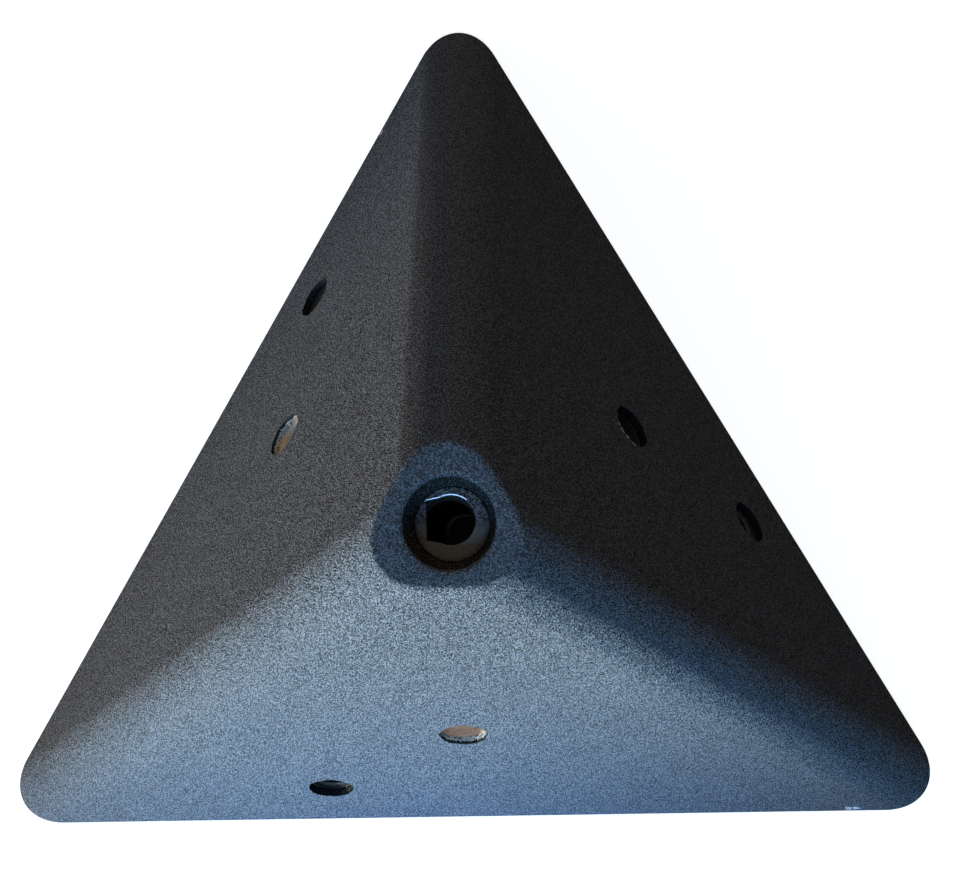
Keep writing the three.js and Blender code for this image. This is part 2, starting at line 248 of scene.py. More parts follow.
def level_rings(level, inset):
    """One ring of the pyramid's skin for each level, after the skin has moved inwards by inset:
    at each corner the ellipse that the level cuts from the ridge's round-over, centre
    2 (inradius - level / tan slope - round-over / sin slope) out, and straight sides between."""
    level = np.atleast_1d(level)
    radius = RIDGE_RADIUS - inset
    centre = 2 * (BASE_INRADIUS - level / math.tan(SLOPE) - RIDGE_RADIUS / math.sin(SLOPE))
    t = np.linspace(-RIDGE_ARC, RIDGE_ARC, ARC_STEPS + 1)
    out = centre[:, None] + radius / math.sin(RIDGE_SLOPE) * np.cos(t)
    corners = [spun(out, radius * np.sin(t), turn) for turn in CORNER_TURNS]
    share = np.arange(1, SIDE_STEPS)[:, None] / SIDE_STEPS
    parts = []
    for here, following in zip(corners, corners[1:] + corners[:1]):
        start, end = here[:, -1:], following[:, :1]
        parts += [here, start + (end - start) * share]
    flat = np.concatenate(parts, axis=1)
    z = np.broadcast_to(level[:, None, None], flat.shape[:2] + (1,))
    return np.concatenate([flat, z], axis=2)


def column_normals():
    """Azimuth and elevation of the skin's outward normal for each column of level_rings: over a
    ridge the normal is cos t of the ridge's own normal and sin t of the level across it."""
    t = np.linspace(-RIDGE_ARC, RIDGE_ARC, ARC_STEPS + 1)
    azimuth = np.arctan2(np.sin(t), np.cos(t) * math.sin(RIDGE_SLOPE))
    elevation = np.arcsin(np.cos(t) * math.cos(RIDGE_SLOPE))
    azimuth, elevation = (np.pad(angle, (0, SIDE_STEPS - 1), "edge")
                          for angle in (azimuth, elevation))
    return np.concatenate([turn + azimuth for turn in CORNER_TURNS]), np.tile(elevation, 3)


AZIMUTH, ELEVATION = column_normals()


def rounded_edge(level, radius, first, last, steps):
    """Rings of an edge rounded by a ball that rolls inside the skin at one level: its centre is
    the skin moved in by radius, and the contact's elevation turns from first to last."""
    turn = first + (last - first) * np.linspace(0, 1, steps + 1)[:, None]
    return level_rings(level, radius)[0] + radius * direction(AZIMUTH, turn)


def blended(first, last, steps):
    """Rings spaced evenly between two rings, without the two themselves."""
    share = (np.arange(1, steps) / steps)[:, None, None]
    return first + (last - first) * share


def circles(radius, level, angle):
    """Rings about Z: x = radius cos angle, y = radius sin angle, z = level. Radius and level are
    given once, for each ring, or for each point of each ring."""
    radius, level = (value if np.ndim(value) == 2 else np.reshape(value, (-1, 1))
                     for value in (radius, level))
    return np.stack(np.broadcast_arrays(radius * np.cos(angle), radius * np.sin(angle), level), -1)


SCREW_PLACES = circles(SCREW_CIRCLE / 2, 0.0, math.pi / 2 + full_turn(SCREW_COUNT))[0, :, :2]


def skin_wave(points):
    """How far the hand-laid skin dips inwards, from 0 to SKIN_WAVE: a sum of long sine waves."""
    x, y, z = points[..., 0], points[..., 1], points[..., 2]
    wave = np.sin(x / 17.0 + 0.6 * np.sin(z / 13.0)) * np.sin(y / 19.0 + 1.1)
    wave += 0.6 * np.sin(x / 7.3 + z / 9.1 + 2.0) * np.sin(y / 8.7 - z / 11.0)
    wave += 0.5 * np.sin((x - y) / 31.0 + z / 23.0)
    return SKIN_WAVE * (0.5 + wave / 4.2)


def to_frame(points):
    """Millimetres about the bolt's axis to metres in the part's frame."""
    return np.asarray(points) * MM + AXIS


def onto_face(points, turn):
    """From a face's own axes, across, up and out, to the axes of the part: the face leans by
    SLOPE on its base edge, BASE_INRADIUS from the bolt's axis, and is turned about that axis."""
    across, up, out = points[..., 0], points[..., 1], points[..., 2]
    y = up * math.cos(SLOPE) - out * math.sin(SLOPE) - BASE_INRADIUS
    z = up * math.sin(SLOPE) + out * math.cos(SLOPE)
    return np.concatenate([spun(across, y, turn), z[..., None]], -1)


def place_object(name, data):
    """A new object at the scene's origin whose data is a mesh, a lamp or a camera."""
    made = bpy.data.objects.new(name, data)
    bpy.context.scene.collection.objects.link(made)
    return made


def shade_smooth(mesh):
    """Smooth shading, broken at the edges that bend by SHARP_ANGLE or more."""
    mesh.polygons.foreach_set("use_smooth", np.ones(len(mesh.polygons), bool))
    mesh.set_sharp_from_angle(angle=math.radians(SHARP_ANGLE))


def ring_piece(name, rings, materials, finish=None, looped=True):
    """A mesh object from a stack of rings in the part's own millimetres, closed on itself or
    with a flat face at each end. finish gives the material of the band above each ring."""
    rows, columns = rings.shape[:2]
    i, j = np.arange(rows if looped else rows - 1)[:, None], np.arange(columns)
    up, on = (i + 1) % rows, (j + 1) % columns
    quads = np.stack([i * columns + j, i * columns + on, up * columns + on, up * columns + j], -1)
    faces = quads.reshape(-1, 4).tolist()
    if not looped:
        faces += [list(range(columns))[::-1], list(range((rows - 1) * columns, rows * columns))]
    mesh = bpy.data.meshes.new(name)
    mesh.from_pydata(to_frame(rings.reshape(-1, 3)), [], faces)
    for material in materials:
        mesh.materials.append(material)
    if finish is not None:
        finish = np.repeat(np.asarray(finish, np.int32), columns)
        mesh.polygons.foreach_set("material_index", finish)
    mesh.update()
    shade_smooth(mesh)
    return place_object(name, mesh)


def cut_piece(piece, cutters):
    """Takes the cutters out of piece, gives the cut walls their material, and deletes them."""
    for cutter in cutters:
        tool = piece.modifiers.new("cut", "BOOLEAN")
        tool.operation = "DIFFERENCE"
        tool.solver = "EXACT"
        tool.material_mode = "TRANSFER"
        tool.object = cutter
    bpy.context.view_layer.update()
    evaluated = piece.evaluated_get(bpy.context.evaluated_depsgraph_get())
    old = piece.data
    piece.data = bpy.data.meshes.new_from_object(evaluated)
    piece.data.name = piece.name
    piece.modifiers.clear()
    for cutter in cutters:
        bpy.data.objects.remove(cutter)
    bpy.data.meshes.remove(old)
    shade_smooth(piece.data)


def finish_piece(piece, slot, *nodes):
    """The piece rides on the part's one body and stands for its nodes, which it hides. slot is not
    used.
    """
    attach(piece, "root")
    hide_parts(*nodes)


def add_node(tree, kind, settings=None, inputs=None):
    """A shader node with its settings, and its inputs set to values or linked to sockets."""
    made = tree.nodes.new("ShaderNode" + kind)
    for key, value in (settings or {}).items():
        setattr(made, key, value)
    for key, value in (inputs or {}).items():
        if isinstance(value, bpy.types.NodeSocket):
            tree.links.new(value, made.inputs[key])
        else:
            made.inputs[key].default_value = value
    return made


def calc(tree, operation, *values, clamp=False):
    """The result socket of one Math node."""
    settings = {"operation": operation, "use_clamp": clamp}
    return add_node(tree, "Math", settings, dict(enumerate(values))).outputs[0]


def vector_calc(tree, operation, *values):
    """The result socket of one Vector Math node, a number for a distance or a length."""
    made = add_node(tree, "VectorMath", {"operation": operation}, dict(enumerate(values)))
    return made.outputs["Value" if operation in ("DISTANCE", "LENGTH") else "Vector"]


def blend_colour(tree, share, *ends):
    """The result socket of one colour Mix node between two ends, each a socket or a colour."""
    first, second = (end if isinstance(end, bpy.types.NodeSocket) else (*end, 1.0)
                     for end in ends)
    inputs = {0: share, 6: first, 7: second}
    return add_node(tree, "Mix", {"data_type": "RGBA"}, inputs).outputs[2]


def ramp_between(tree, value, low, high):
    """0 below low, 1 above high, with a smooth step between."""
    settings = {"interpolation_type": "SMOOTHSTEP"}
    return add_node(tree, "MapRange", settings, {0: value, 1: low, 2: high}).outputs[0]


def noise(tree, vector, scale, detail=2.0, roughness=0.5, distortion=0.0):
    """The value socket of one Noise Texture."""
    inputs = {"Vector": vector, "Scale": scale, "Detail": detail, "Roughness": roughness,
              "Distortion": distortion}
    return add_node(tree, "TexNoise", None, inputs).outputs[0]


def new_group(name, inputs, outputs):
    """A shader node group with named sockets, each a (name, kind) or (name, kind, default)."""
    group = bpy.data.node_groups.new(name, "ShaderNodeTree")
    for label, kind, *default in inputs:
        socket = group.interface.new_socket(label, in_out="INPUT", socket_type="NodeSocket" + kind)
        if default:
            socket.default_value = default[0]
    for label, kind in outputs:
        group.interface.new_socket(label, in_out="OUTPUT", socket_type="NodeSocket" + kind)
    return group, group.nodes.new("NodeGroupInput").outputs


def put_out(group, results):
    """Links a group's results to its outputs by name, and gives the group."""
    output = group.nodes.new("NodeGroupOutput")
    for label, value in results.items():
        group.links.new(value, output.inputs[label])
    return group


def new_material(name):
    """A material with an empty node tree, its shader and its Object coordinates."""
    material = bpy.data.materials.new(name)
    material.use_nodes = True
    tree = material.node_tree
    tree.nodes.clear()
    shader = add_node(tree, "BsdfPrincipled")
    add_node(tree, "OutputMaterial", None, {"Surface": shader.outputs[0]})
    place = add_node(tree, "TexCoord").outputs["Object"]
    return material, tree, shader, place


def use_group(tree, group, inputs):
    """The output sockets of a group placed in a material."""
    return add_node(tree, "Group", {"node_tree": group}, inputs).outputs


def set_shader(tree, shader, colour, look, height=None, facets=None):
    """The shader's colour from a socket, its plain roughness and specular level, and a normal
    from a height through one Bump node, over facets if given."""
    roughness, specular, relief = look
    tree.links.new(colour, shader.inputs["Base Color"])
    shader.inputs["Roughness"].default_value = roughness
    shader.inputs["Specular IOR Level"].default_value = specular
    if height is not None:
        inputs = {"Height": height, "Distance": relief}
        if facets is not None:
            inputs["Normal"] = facets
        bump = add_node(tree, "Bump", None, inputs)
        tree.links.new(bump.outputs[0], shader.inputs["Normal"])


def grit_group():
    """Sand grains under a coat, drawn out a little down the slope: a fine tone, facets that each
    lean their own way, and soft hollows where the coat pooled. Puts out a height, a tone from 0
    to 1, sparse glints and the normal of the facets."""
    group, given = new_group(
        "grit",
        [("Vector", "Vector"), ("Grains per m", "Float", 2600.0), ("Pooling", "Float", 0.2)],
        [("Height", "Float"), ("Tone", "Float"), ("Glint", "Float"), ("Facets", "Vector")],
    )
    vector, grains = given["Vector"], given["Grains per m"]
    long = vector_calc(group, "MULTIPLY", vector, (1.0, 1.0, GRAIN_SQUEEZE))
    cells = add_node(group, "TexVoronoi", None, {"Vector": long, "Scale": grains}).outputs
    dome = calc(group, "SUBTRACT", 1.0, cells["Distance"], clamp=True)
    lean = vector_calc(group, "SUBTRACT", cells["Color"], (0.5, 0.5, 0.5))
    normal = add_node(group, "NewGeometry").outputs["Normal"]
    facets = vector_calc(group, "NORMALIZE", vector_calc(group, "ADD", normal, lean))
    fine = noise(group, long, grains, 0.6)
    swell = noise(group, long, calc(group, "MULTIPLY", grains, SWELL_SCALE), 1.0, 0.6)
    pools = noise(group, vector, calc(group, "MULTIPLY", grains, POOL_SCALE), 2.0, 0.55)
    sparse = noise(group, vector, calc(group, "MULTIPLY", grains, GLINT_SCALE), 1.0)
    sand = calc(group, "MULTIPLY_ADD", swell, SWELL_HEIGHT,
                calc(group, "MULTIPLY", dome, DOME_HEIGHT))
    return put_out(group, {
        "Height": calc(group, "MULTIPLY_ADD", pools, given["Pooling"], sand),
        "Tone": calc(group, "MULTIPLY_ADD", fine, FINE_TONE,
                     calc(group, "MULTIPLY", pools, POOL_TONE)),
        "Glint": ramp_between(group, sparse, *GLINT_RANGE),
        "Facets": facets,
    })


def ply_group():
    """Plywood as a solid: plies of one thickness whose grain runs across, then up, with a thin
    glue line between them. Vector is in metres along the board's own axes."""
    group, given = new_group("plywood grain", [("Vector", "Vector")],
                             [("Color", "Color"), ("Height", "Float")])
    vector = given["Vector"]
    depth = add_node(group, "SeparateXYZ", None, {0: vector}).outputs["Z"]
    depth = calc(group, "MULTIPLY_ADD", noise(group, vector, 40.0, 1.0), PLY * MM * 0.3, depth)
    layer = calc(group, "DIVIDE", depth, PLY * MM)
    number = calc(group, "ABSOLUTE", calc(group, "FLOOR", layer))
    turn = calc(group, "GREATER_THAN", calc(group, "MODULO", number, 2.0), 0.5)
    first, second = (noise(group, vector_calc(group, "MULTIPLY", vector, stretch), 1.0, 3.0, 0.6,
                           0.3) for stretch in PLY_STRETCHES)
    grain = calc(group, "MULTIPLY_ADD", calc(group, "SUBTRACT", second, first), turn, first)
    mottle = calc(group, "MULTIPLY_ADD", noise(group, vector, 110.0, 2.0, 0.6), 0.6,
                  calc(group, "MULTIPLY", grain, 0.7))
    share = calc(group, "MULTIPLY_ADD", turn, 0.22, ramp_between(group, mottle, 0.42, 0.86),
                 clamp=True)
    colour = blend_colour(group, share, *PLY_COLOURS)
    near = calc(group, "ABSOLUTE", calc(group, "SUBTRACT", calc(group, "FRACT", layer), 0.5))
    glue = ramp_between(group, near, *GLUE_RANGE)
    colour = blend_colour(group, calc(group, "MULTIPLY", glue, 0.6), colour, GLUE_COLOUR)
    return put_out(group, {"Color": colour,
                           "Height": calc(group, "MULTIPLY_ADD", glue, -0.5, grain)})


def wear_group():
    """Smudges and speckled overspray on bare metal: a slow noise and small sharp spots."""
    group, given = new_group(
        "metal wear", [("Vector", "Vector"), ("Cover", "Float", 0.3)],
        [("Smudge", "Float"), ("Spots", "Float"), ("Height", "Float")],
    )
    smudge = noise(group, given["Vector"], 260.0, 3.0, 0.6)
    spots = noise(group, given["Vector"], 1400.0, 2.0, 0.6)
    edge = calc(group, "SUBTRACT", 0.72, calc(group, "MULTIPLY", given["Cover"], 0.4))
    mask = ramp_between(group, spots, edge, calc(group, "ADD", edge, 0.05))
    height = calc(group, "MULTIPLY_ADD", mask, 0.6, calc(group, "MULTIPLY", spots, 0.3))
    return put_out(group, {"Smudge": smudge, "Spots": mask, "Height": height})


GRIT = grit_group()
PLY_GRAIN = ply_group()
WEAR = wear_group()


def sand_coat():
    """Black sand coat, matt: dark slate with a slight tone from grain to grain, a few paler
    grains that are partly pale sand and partly painted glints, and bare laminate where it is
    nicked."""
    material, tree, shader, place = new_material("black sand coat")
    grit = use_group(tree, GRIT, {"Vector": place, "Grains per m": 3100.0, "Pooling": 0.15})
    colour = blend_colour(tree, ramp_between(tree, grit["Tone"], 0.42, 0.60), *COAT_COLOURS)
    # Paler grains: partly pale sand, partly painted glints on a coat with no sheen.
    colour = blend_colour(tree, calc(tree, "MULTIPLY", grit["Glint"], 0.4), colour, PALE_GRAIN_AND_GLINT_COLOUR)
    gap = FAR_OFF
    for *spot, width in NICKS:
        away = vector_calc(tree, "DISTANCE", place, to_frame(spot))
        gap = calc(tree, "MINIMUM", gap, calc(tree, "DIVIDE", away, width * MM))
    torn = noise(tree, place, 900.0, 2.0, 0.6)
    nicked = ramp_between(tree, calc(tree, "SUBTRACT", gap, torn), 0.0, -0.12)
    set_shader(tree, shader, blend_colour(tree, nicked, colour, CHIP_COLOUR), COAT_LOOK,
               grit["Height"], grit["Facets"])
    return material


def recess_paint_and_shade():
    """Wall of the bolt's recess: thin black paint with scattered pale grains of sand, made darker
    than the coat with painted shade.
    """
    material, tree, shader, place = new_material("recess paint and painted shade")
    grit = use_group(tree, GRIT, {"Vector": place, "Grains per m": 2500.0})
    speck = ramp_between(tree, grit["Tone"], 0.55, 0.66)
    set_shader(tree, shader, blend_colour(tree, speck, *RECESS_PAINT_AND_SHADE_COLOURS), RECESS_LOOK,
               grit["Height"])
    return material


def washer_paint():
    """The washer: blackened steel, bare towards -Y where a tool rubbed it, and dusted with dark
    paint and grains of sand towards +Y and round its edge."""
    material, tree, shader, place = new_material("dusted black steel")
    grit = use_group(tree, GRIT, {"Vector": place, "Grains per m": 1900.0, "Pooling": 0.3})
    off = vector_calc(tree, "SUBTRACT", place, to_frame((WASHER_SHIFT, 0.0, RECESS_FLOOR)))
    away = vector_calc(tree, "LENGTH", vector_calc(tree, "MULTIPLY", off, (1.0, 1.0, 0.0)))
    side = add_node(tree, "SeparateXYZ", None, {0: off}).outputs["Y"]
    rough = calc(tree, "MULTIPLY_ADD", grit["Tone"], DUST_BLUR * MM, -DUST_BLUR * MM / 2)
    rim, above = (ramp_between(tree, calc(tree, "ADD", reach, rough), low * MM, high * MM)
                  for reach, (low, high) in ((away, DUST_RIM), (side, DUST_SIDE)))
    dust = blend_colour(tree, ramp_between(tree, grit["Tone"], 0.42, 0.62), *DUST_COLOURS)
    bare = blend_colour(tree, grit["Tone"], *BARE_COLOURS)
    dusted = blend_colour(tree, calc(tree, "MAXIMUM", rim, above), bare, dust)
    set_shader(tree, shader, dusted, DUST_LOOK, grit["Height"])
    return material


def drilled_edge():
    """Wall of a hole drilled through the shell: the black coat with a torn edge, the pale
    laminate with its glass fibres, then wood pulled up from the board. The depth attribute is in
    millimetres below the face, and the other attribute is 1 where a hole is darkened, partly by the
    coat that ran in and partly as painted shade."""
    material, tree, shader, place = new_material("drilled laminate")
    depth, run_in_and_shade = (add_node(tree, "Attribute", {"attribute_name": label}).outputs["Fac"]
                     for label in ("depth", "run_in_and_shade"))
    torn = noise(tree, place, 1100.0, 3.0, 0.65)
    edge = calc(tree, "MULTIPLY_ADD", torn, 1.5, calc(tree, "SUBTRACT", depth, 0.75))
    under = ramp_between(tree, edge, COAT - 0.06, COAT + 0.06)
    fibre = noise(tree, place, 2200.0, 3.0, 0.7)
    glass = blend_colour(tree, ramp_between(tree, fibre, 0.40, 0.60), *GLASS_COLOURS)
    wood = blend_colour(tree, fibre, *WOOD_COLOURS)
    deep = ramp_between(tree, calc(tree, "MULTIPLY_ADD", torn, 0.8, depth), 2.5, 2.7)
    colour = blend_colour(tree, deep, glass, wood)
    colour = blend_colour(tree, under, CUT_COAT_COLOUR, colour)
    # Darkening of the holes: partly the coat that ran in, partly painted shade.
    covered_and_shaded = calc(tree, "MULTIPLY_ADD", torn, 0.6, run_in_and_shade)
    colour = blend_colour(tree, ramp_between(tree, covered_and_shaded, 0.62, 0.72), colour, RUN_IN_AND_SHADE_COLOUR)
    set_shader(tree, shader, colour, EDGE_LOOK, calc(tree, "ADD", torn, fibre))
    return material


def raw_laminate():
    """Inside of the shell: glass mat in resin, with short fibres in all directions."""
    material, tree, shader, place = new_material("raw glass laminate")
    fibres = 0.0
    for turn in (0.3, 1.4, 2.5):
        mapped = add_node(tree, "Mapping", None, {"Vector": place, "Rotation": (0.4, turn, turn),
                                                  "Scale": (90.0, 1300.0, 900.0)}).outputs[0]
        fibres = calc(tree, "MAXIMUM", fibres, noise(tree, mapped, 1.0, 2.0, 0.5, 0.6))
    colour = blend_colour(tree, ramp_between(tree, fibres, 0.52, 0.74), *LAMINATE_COLOURS)
    resin = calc(tree, "MULTIPLY", noise(tree, place, 60.0), 0.45)
    set_shader(tree, shader, blend_colour(tree, resin, colour, RESIN_COLOUR), LAMINATE_LOOK,
               fibres)
    return material


def plywood(name, place=(0.0, 0.0, 0.0), lean=(0.0, 0.0, 0.0)):
    """Birch plywood whose plies lie along axes placed and turned in the part's frame."""
    material, tree, shader, coords = new_material(name)
    axes = add_node(tree, "Mapping", {"vector_type": "TEXTURE"},
                    {"Vector": coords, "Location": place, "Rotation": lean}).outputs[0]
    grain = use_group(tree, PLY_GRAIN, {"Vector": axes})
    set_shader(tree, shader, grain["Color"], PLY_LOOK, grain["Height"])
    return material


def smudged(name, colour, dull, rough, cover, spot=(0.03, 0.03, 0.032), metallic=1.0):
    """Metal, or paint where metallic is 0, with smudges, and spots of overspray or sand."""
    material, tree, shader, place = new_material(name)
    wear = use_group(tree, WEAR, {"Vector": place, "Cover": cover})
    tone = blend_colour(tree, wear["Smudge"], colour, dull)
    set_shader(tree, shader, blend_colour(tree, wear["Spots"], tone, spot), (rough, *METAL_LOOK),
               wear["Height"])
    tree.links.new(calc(tree, "MULTIPLY_ADD", wear["Smudge"], 0.3, rough),
                   shader.inputs["Roughness"])
    tree.links.new(calc(tree, "MULTIPLY", calc(tree, "SUBTRACT", 1.0, wear["Spots"]), metallic),
                   shader.inputs["Metallic"])
    return material


COAT_FINISH = sand_coat()
RECESS_PAINT_AND_SHADE_FINISH = recess_paint_and_shade()
EDGE_FINISH = drilled_edge()
LAMINATE = raw_laminate()
FLAT_PLY = plywood("plywood lying flat")
BOARD_PLY = {face: plywood(f"plywood behind {face}", to_frame(onto_face(np.zeros(3), turn)),
                           (SLOPE, 0.0, turn)) for face, turn in FACES.items()}
DARK_STEEL = washer_paint()
ZINC = smudged("zinc-plated steel", (0.62, 0.63, 0.64), (0.40, 0.41, 0.42), 0.24, 0.1)
# Shiny bare steel, put only on the arc of the washer's bore to make a painted highlight.
HIGHLIGHT_STEEL = smudged("steel with a painted highlight", (0.26, 0.31, 0.38), (0.14, 0.16, 0.20), 0.24, 0.15)
# Dark zinc: partly overspray, partly painted shade down the bolt's bore and in the darkened holes.
ZINC_OVERSPRAY_AND_SHADE = smudged("zinc under overspray and painted shade", (0.05, 0.05, 0.052), (0.02, 0.02, 0.021), 0.42, 0.85,
                      (0.02, 0.02, 0.021))
# Wall of a darkened board hole: partly paint that ran in, partly painted shade.
HOLE_PAINT_AND_SHADE = smudged("paint and painted shade in a hole", (0.022, 0.024, 0.025), (0.012, 0.013, 0.014), 0.6, 0.1,
                     (0.05, 0.05, 0.045), 0.0)
# A near-white wall in the left inner hole: a painted highlight.
HOLE_HIGHLIGHT = smudged("painted highlight in a hole", (0.74, 0.74, 0.69), (0.52, 0.40, 0.22), 0.7, 0.15,
                      (0.10, 0.085, 0.05), 0.0)
HOLE_WALLS = {hole: HOLE_PAINT_AND_SHADE for hole in RUN_IN_AND_SHADED_HOLES} | {("left", "inner"): HOLE_HIGHLIGHT}


def shell_skin():
    """The closed shell as one loop of rings: out over the rim, up the skin, round the tip's
    edge, over the flat tip, down the recess and the bolt hole, out under the ceiling, and down
    the inside. Its material changes by band: coat, drilled edge, bare laminate, and black paint
    with painted shade in the recess and the bolt hole."""
    quarter = math.pi / 2
    rim = rounded_edge(RIM_EDGE, RIM_EDGE, -quarter, ELEVATION, 5)
    tip = rounded_edge(HEIGHT - TIP_EDGE, TIP_EDGE, ELEVATION, quarter, 6)
    share = np.linspace(0, 1, WALL_STEPS + 1)[1:-1, None, None]
    wall = rim[-1] + (tip[0] - rim[-1]) * share
    fade = np.clip(np.minimum(share, 1 - share) * WAVE_FADE, 0, 1)
    wall = wall - direction(AZIMUTH, ELEVATION) * skin_wave(wall)[..., None] * fade
    angle = np.arctan2(tip[-1, :, 1], tip[-1, :, 0])
    mouth = (RECESS_FLOOR_WIDTH + RECESS_FLARE) / 2
    turn = np.linspace(0, quarter, 7)
    lip = circles(mouth + RECESS_LIP * (1 - np.sin(turn)), HEIGHT - RECESS_LIP * (1 - np.cos(turn)),
                  angle) + np.array([RECESS_SHIFT, 0.0, 0.0])
    top = RECESS_FLOOR + SEAT_GAP + WASHER_THICKNESS - WASHER_COLLAR
    collar = circles(WASHER_WIDTH / 2 + WASHER_COLLAR, [top, RECESS_FLOOR],
                     angle) + np.array([WASHER_SHIFT, 0.0, 0.0])
    bore = circles(BOLT_HOLE_WIDTH / 2, np.linspace(RECESS_FLOOR, CEILING, 4), angle)
    inner = level_rings(np.linspace(CEILING, 0, 31), SHELL_WALL)
    # The band called paint is the recess's black paint with painted shade.
    coat, edge, bare, paint = range(4)
    parts = [(rim, coat), (wall, coat), (tip, coat), (blended(tip[-1], lip[0], 6), coat),
             (lip[:-1], coat), (lip[-1:], paint), (blended(lip[-1], collar[0], 10), paint),
             (collar, paint), (blended(collar[-1], bore[0], 5), paint), (bore, paint),
             (blended(bore[-1], inner[0], 5), bare), (inner, bare),
             (blended(inner[-1], rim[0], 3), edge)]
    rings = np.concatenate([part for part, band in parts])
    finish = np.concatenate([np.full(len(part), band) for part, band in parts])
    piece = ring_piece("shell_skin", rings, [COAT_FINISH, EDGE_FINISH, LAMINATE, RECESS_PAINT_AND_SHADE_FINISH],
                       finish)
    cut_piece(piece, [hole_cutter(face, insert) for face in FACES for insert in INSERTS])
    add_depth(piece)
    finish_piece(piece, "coated_laminate", "shell")


def at_hole(points, face, insert, across=0.0, up=0.0, out=0.0):
    """Points about the axis of an insert's hole, moved and put onto its face."""
    shift, rise, _ = INSERTS[insert]
    return onto_face(points + np.array([shift + across, rise + up, out]), FACES[face])


def hole_cutter(face, insert):
    """A drill for one insert hole: radius = half the hole's width, plus chips in the coat that
    fade with depth and change round the hole as a sum of waves with their own phase."""
    phase = 1.7 * list(FACES).index(face) + 0.9 * list(INSERTS).index(insert)
    angle = full_turn(ROUND_STEPS)
    depth = np.array([-(SHELL_WALL + 1.5), -2.2, -1.7, -1.3, -1.0, -0.7, -0.45, -0.2, 0.1, 1.5])
    chip = (np.sin(5 * angle + phase) + 0.8 * np.sin(11 * angle - 2 * phase)
            + 0.7 * np.sin(17 * angle + 3 * phase) + 0.5 * np.sin(29 * angle + phase))
    near = np.exp(-((depth[:, None] + 0.1) / CHIP_DEPTH) ** 2)
    radius = INSERT_HOLE_WIDTH / 2 + near * (CHIP_MEAN + CHIP_SWING * chip)
    return ring_piece("drill", at_hole(circles(radius, depth, angle), face, insert),
                      [EDGE_FINISH], looped=False)


def add_depth(piece):
    """Stores on each point how far it lies below the nearest face plane, in millimetres, and
    how dark its hole is made, partly by the coat that ran in and partly as painted shade: 1 round
    the darkened holes, less on a chipped side, 0 elsewhere."""
    mesh = piece.data
    flat = np.empty(len(mesh.vertices) * 3)
    mesh.vertices.foreach_get("co", flat)
    points = (flat.reshape(-1, 3) - AXIS) / MM
    outs = []
    for turn in FACES.values():
        outward = points[:, 0] * math.sin(turn) - points[:, 1] * math.cos(turn)
        outs.append((outward - BASE_INRADIUS) * math.sin(SLOPE) + points[:, 2] * math.cos(SLOPE))
    run_in_and_shade = np.zeros(len(points))
    for (face, insert), cover in RUN_IN_AND_SHADED_HOLES.items():
        ends = at_hole(np.array([(0.0, 0.0, 0.0), (*CHIPPED_SIDE, 0.0)]), face, insert)
        away = points - ends[0]
        near = np.linalg.norm(away, axis=1) < INSERT_HOLE_WIDTH
        chipped = away @ (ends[1] - ends[0]) > INSERT_HOLE_WIDTH * CHIPPED_FROM
        run_in_and_shade[near] = np.where(chipped[near], cover, 1.0)
    for label, values in (("depth", -np.max(outs, axis=0)), ("run_in_and_shade", run_in_and_shade)):
        mesh.attributes.new(label, "FLOAT", "POINT").data.foreach_set("value", values)


def washer_bore(angle):
    """Radius of the washer's bore by angle: a circle, squared off towards -X, where a flat side
    stands at the circle's own radius and ends in two corners, each joined to the circle by a
    straight line through the point BORE_FLAT_MEETS before the centre."""
    half = WASHER_BORE / 2
    back = np.maximum(-np.cos(angle), TINY)
    meets = np.array([BORE_FLAT_MEETS, math.sqrt(half ** 2 - BORE_FLAT_MEETS ** 2)])
    along = meets - np.array(BORE_CORNER)
    normal = np.array([along[1], -along[0]]) / np.hypot(*along)
    line = normal @ meets / np.maximum(normal[0] * back + normal[1] * np.abs(np.sin(angle)), TINY)
    squared = np.minimum(BORE_CORNER[0] / back, line)
    return np.where(np.cos(angle) < -BORE_FLAT_MEETS / half, np.maximum(half, squared), half)


def bolt_washer_ring():
    """The washer in the recess: a flat ring with rounded edges, whose bore isn't round and
    stands off its centre. Each ring is a share of the way from the outside to the bore."""
    angle = full_turn(ROUND_STEPS * 4)
    round_off = np.stack([np.cos(angle), np.sin(angle)], -1)
    inside = washer_bore(angle)[:, None] * round_off + np.array(BORE_SHIFT)
    outside = WASHER_WIDTH / 2 * round_off + np.array([WASHER_SHIFT, 0.0])
    low = RECESS_FLOOR + SEAT_GAP
    high, foot = low + WASHER_THICKNESS, low + WASHER_LIFT
    bends = [(WASHER_EDGE * (1 - np.cos(bend)) * round_off, high - WASHER_EDGE * (1 - np.sin(bend)))
             for bend in np.linspace(0, math.pi / 2, 6)]
    first, last = outside - WASHER_EDGE * round_off, inside + WASHER_EDGE * round_off
    rows = [(outside, foot)] + [(outside - inset, z) for inset, z in bends]
    rows += [(first + (last - first) * share, high) for share in (0.3, 0.6, 0.9)]
    rows += [(inside + inset, z) for inset, z in reversed(bends)] + [(inside, foot)]
    rings = np.stack([np.column_stack([flat, np.full(len(flat), z)]) for flat, z in rows])
    piece = ring_piece("bolt_washer_ring", rings, [DARK_STEEL, HIGHLIGHT_STEEL])
    inner = np.arange(len(rows)) >= len(bends) + 4
    # The arc of the bore takes the shiny steel, a painted highlight.
    highlight_faces = inner[:, None] & (angle > HIGHLIGHT_ARC[0]) & (angle < HIGHLIGHT_ARC[1])
    piece.data.polygons.foreach_set("material_index", highlight_faces.ravel().astype(np.int32))
    finish_piece(piece, "dark_steel", "bolt_washer")


